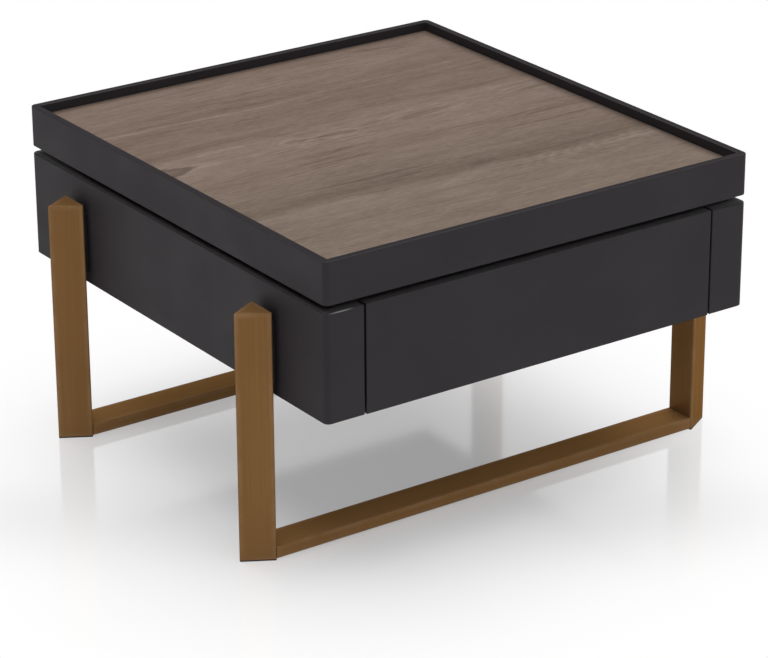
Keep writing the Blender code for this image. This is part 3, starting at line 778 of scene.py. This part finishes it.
def build_legs():
    """Triangular tubes with rounded corners and an eased cap, drilled for their bolts."""
    for tag in TAGS:
        node = f"leg_{tag}"
        low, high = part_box(node)
        sign = math.copysign(1, low.x)
        flat = min(abs(low.x), abs(high.x))
        height = high.x - low.x
        middle = (low.y + high.y) / 2

        def loop(z, inset=0.0):
            return [(sign * (flat + x), middle + y, z) for x, y in rounded_triangle(height, LEG_CORNER, inset)]

        top = [loop(high.z - LEG_TOP_EASE + y, LEG_TOP_EASE - x)
               for x, y in arc((0, 0), LEG_TOP_EASE, 0, 90, EASE_STEPS)]
        loops = [loop(high.z - LEG_WALL, LEG_WALL), loop(low.z, LEG_WALL), loop(low.z), *top]
        mesh = loft(f"leg_tube_{tag}", loops)
        mesh = drilled(mesh, [(sign * (flat - LEG_WALL), sign * (flat + 2 * LEG_WALL), bolt.y, bolt.z)
                              for bolt in bolt_middles(tag)])
        add_piece(f"leg_tube_{tag}", mesh, FINISHES["bronze_legs"], "bronze_metal", "table", node)


def build_bars():
    """Flat tubes along the floor, with rounded edges."""
    for end in ENDS:
        node = f"floor_bar_{end}"
        low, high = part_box(node)
        outer = rounded_rectangle((low.y, low.z), (high.y, high.z), BAR_EASE)
        inner = rounded_rectangle((low.y + BAR_WALL, low.z + BAR_WALL), (high.y - BAR_WALL, high.z - BAR_WALL),
                                  BAR_EASE / 2)
        sections = ((low.x, inner), (low.x, outer), (high.x, outer), (high.x, inner))
        mesh = loft(f"bar_tube_{end}", [[(x, y, z) for y, z in section] for x, section in sections], ring=True)
        add_piece(f"bar_tube_{end}", mesh, FINISHES["bronze_bars"], "bronze_metal", "table", node)


def dress(names, finish, width):
    """Give the solids that stay in view their finish and eased edges."""
    for name in names:
        node = NODES[name]
        node.data.materials.clear()
        node.data.materials.append(FINISHES[finish])
        weld = node.modifiers.new("weld", "WELD")
        weld.merge_threshold = WELD_DISTANCE
        bevel = node.modifiers.new("eased edges", "BEVEL")
        bevel.width = width
        bevel.segments = EASE_STEPS
        bevel.limit_method = "ANGLE"
        bevel.angle_limit = SHARP_ANGLE


def dress_solids():
    """Finishes of all the solids that are shown as they are."""
    dress(["top_panel"], "grey_oak", PANEL_EASE)
    dress(["drawer_front"], "charcoal_paint", FRONT_EASE)
    dress(["tray_base", "tray_spacer_left", "tray_spacer_right", "cabinet_top"], "charcoal_paint", BOARD_EASE)
    dress(["cabinet_bottom", "runner_panel_left", "runner_panel_right"], "carcass_board", BOARD_EASE)
    dress(["drawer_side_left", "drawer_side_right"], "drawer_sides", BOARD_EASE)
    dress(["drawer_box_front", "drawer_box_back", "drawer_bottom"], "drawer_ends", BOARD_EASE)
    dress(["tray_batten_left", "tray_batten_right"], "pine", BOARD_EASE)
    dress([name for name in NODES if name.startswith("slide_")], "zinc_steel", METAL_EASE)
    dress([name for name in NODES if "_screw_" in name or "_bolt_" in name], "dark_steel", METAL_EASE)
    dress([name for name in NODES if name.startswith(("foot_", "leg_pad_"))], "black_plastic", METAL_EASE)


def white_floor():
    """A glossy white that clears to plain white away from the table, and is clear from below.

    The cleared part mirrors too, and gives back the light that its mirror takes in.
    """
    ground = Finish("white_floor", specular=FLOOR_SPECULAR)
    ground.shader.inputs["Base Color"].default_value = FLOOR_COLOR
    ground.shader.inputs["Roughness"].default_value = FLOOR_ROUGHNESS
    beyond = ground.vector("ABSOLUTE", ground.vector("SUBTRACT", ground.place, FLOOR_DARK_CENTRE))
    beyond = ground.vector("MAXIMUM", ground.vector("SUBTRACT", beyond, FLOOR_DARK_HALF))
    distance = ground.vector("LENGTH", beyond)
    path = ground.add("LightPath").outputs
    seen = ground.math("MAXIMUM", path["Is Camera Ray"], path["Is Glossy Ray"])
    seen = ground.math("MAXIMUM", seen, path["Is Transmission Ray"])
    clear = ground.product(ground.remap(distance, 0.0, FLOOR_CLEAR_REACH, FLOOR_LIFT, 1.0), seen)
    sheen = ground.remap(distance, *FLOOR_SHEEN_FADE, FLOOR_SHEEN, 0.0)
    along = ground.vector("DOT_PRODUCT", ground.place, VIEW_AHEAD)
    mirrored = ground.remap(along, *CARD_REACH, AMBIENT_BACK, CARD_LEVEL)
    rest = ground.math("SUBTRACT", 1.0, ground.product(sheen, mirrored))
    white = ground.add("Emission", {"Strength": rest}).outputs[0]
    mirror = ground.add("BsdfGlossy", {"Color": sheen, "Roughness": FLOOR_ROUGHNESS}).outputs[0]
    cleared = ground.add("AddShader", {0: white, 1: mirror}).outputs[0]
    shown = ground.add("MixShader", {0: clear, 1: ground.shader.outputs[0], 2: cleared}).outputs[0]
    return ground.finish_one_sided(shown)


def build_floor():
    """The floor that the table stands on."""
    shape = bmesh.new()
    bmesh.ops.create_grid(shape, x_segments=1, y_segments=1, size=FLOOR_SIZE / 2)
    mesh = bpy.data.meshes.new("floor")
    shape.to_mesh(mesh)
    shape.free()
    floor = add_object("floor", mesh)
    mesh.materials.append(white_floor())


def white_card():
    """A plain white that shows on one side, and fades towards the card's top."""
    white = Finish("white_card")
    level = white.remap(white.axes(white.place)[2], *CARD_FADE, CARD_LEVEL, AMBIENT_BACK)
    return white.finish_one_sided(white.add("Emission", {"Strength": level}).outputs[0])


def build_card():
    """A low white card behind the table, seen in reflections alone: the floor mirrors the legs against it."""
    aside = CARD_HALF_WIDTH * Vector((VIEW_AHEAD.y, -VIEW_AHEAD.x, 0.0))
    foot = CARD_PLACE * VIEW_AHEAD
    top = Vector((0.0, 0.0, CARD_HEIGHT))
    mesh = bpy.data.meshes.new("card")
    mesh.from_pydata([foot - aside, foot + aside, foot + aside + top, foot - aside + top], [], [(0, 1, 2, 3)])
    card = add_object("card", mesh)
    for kind in ("camera", "diffuse", "transmission", "volume_scatter", "shadow"):
        setattr(card, f"visible_{kind}", False)
    mesh.materials.append(white_card())


def build_world():
    """A plain surround, dim behind the table and lighter in front, below the level of the light from above."""
    world = bpy.data.worlds.new("studio")
    world.use_nodes = True
    tree = world.node_tree
    surround = tree.nodes["Background"]
    surround.inputs["Color"].default_value = (1.0, 1.0, 1.0, 1.0)
    direction = tree.nodes.new("ShaderNodeSeparateXYZ")
    level = tree.nodes.new("ShaderNodeMapRange")
    level.interpolation_type = "SMOOTHSTEP"
    for name, value in zip(("From Min", "From Max", "To Min", "To Max"),
                           (*AMBIENT_TURN, AMBIENT_BACK, AMBIENT_FRONT)):
        level.inputs[name].default_value = value
    tree.links.new(tree.nodes.new("ShaderNodeTexCoord").outputs["Generated"], direction.inputs[0])
    tree.links.new(direction.outputs["Y"], level.inputs["Value"])
    tree.links.new(level.outputs[0], surround.inputs["Strength"])
    bpy.context.scene.world = world


def build_lamp():
    """One very broad, soft light from above, a little behind the table and to its right."""
    light = bpy.data.lights.new("overhead", "SUN")
    light.angle = OVERHEAD_SPREAD
    light.energy = OVERHEAD_STRENGTH
    lamp = add_object("overhead", light)
    lamp.location = OVERHEAD_FROM
    lamp.rotation_euler = Vector(OVERHEAD_FROM).to_track_quat("Z", "Y").to_euler()


def build_camera():
    """The photograph's view, with its whole frame and no shift."""
    data = bpy.data.cameras.new("camera")
    data.lens = CAMERA_LENS
    data.sensor_width = SENSOR_WIDTH
    camera = add_object("camera", data)
    camera.location = CAMERA_PLACE
    camera.rotation_euler = [math.radians(angle) for angle in CAMERA_TURN]
    bpy.context.scene.camera = camera


FINISHES = make_finishes()
build_tray_rim()
build_cabinet_shell()
build_legs()
build_bars()
dress_solids()
build_floor()
build_card()
build_world()
build_lamp()
build_camera()
bpy.context.scene.view_settings.view_transform = "Standard"
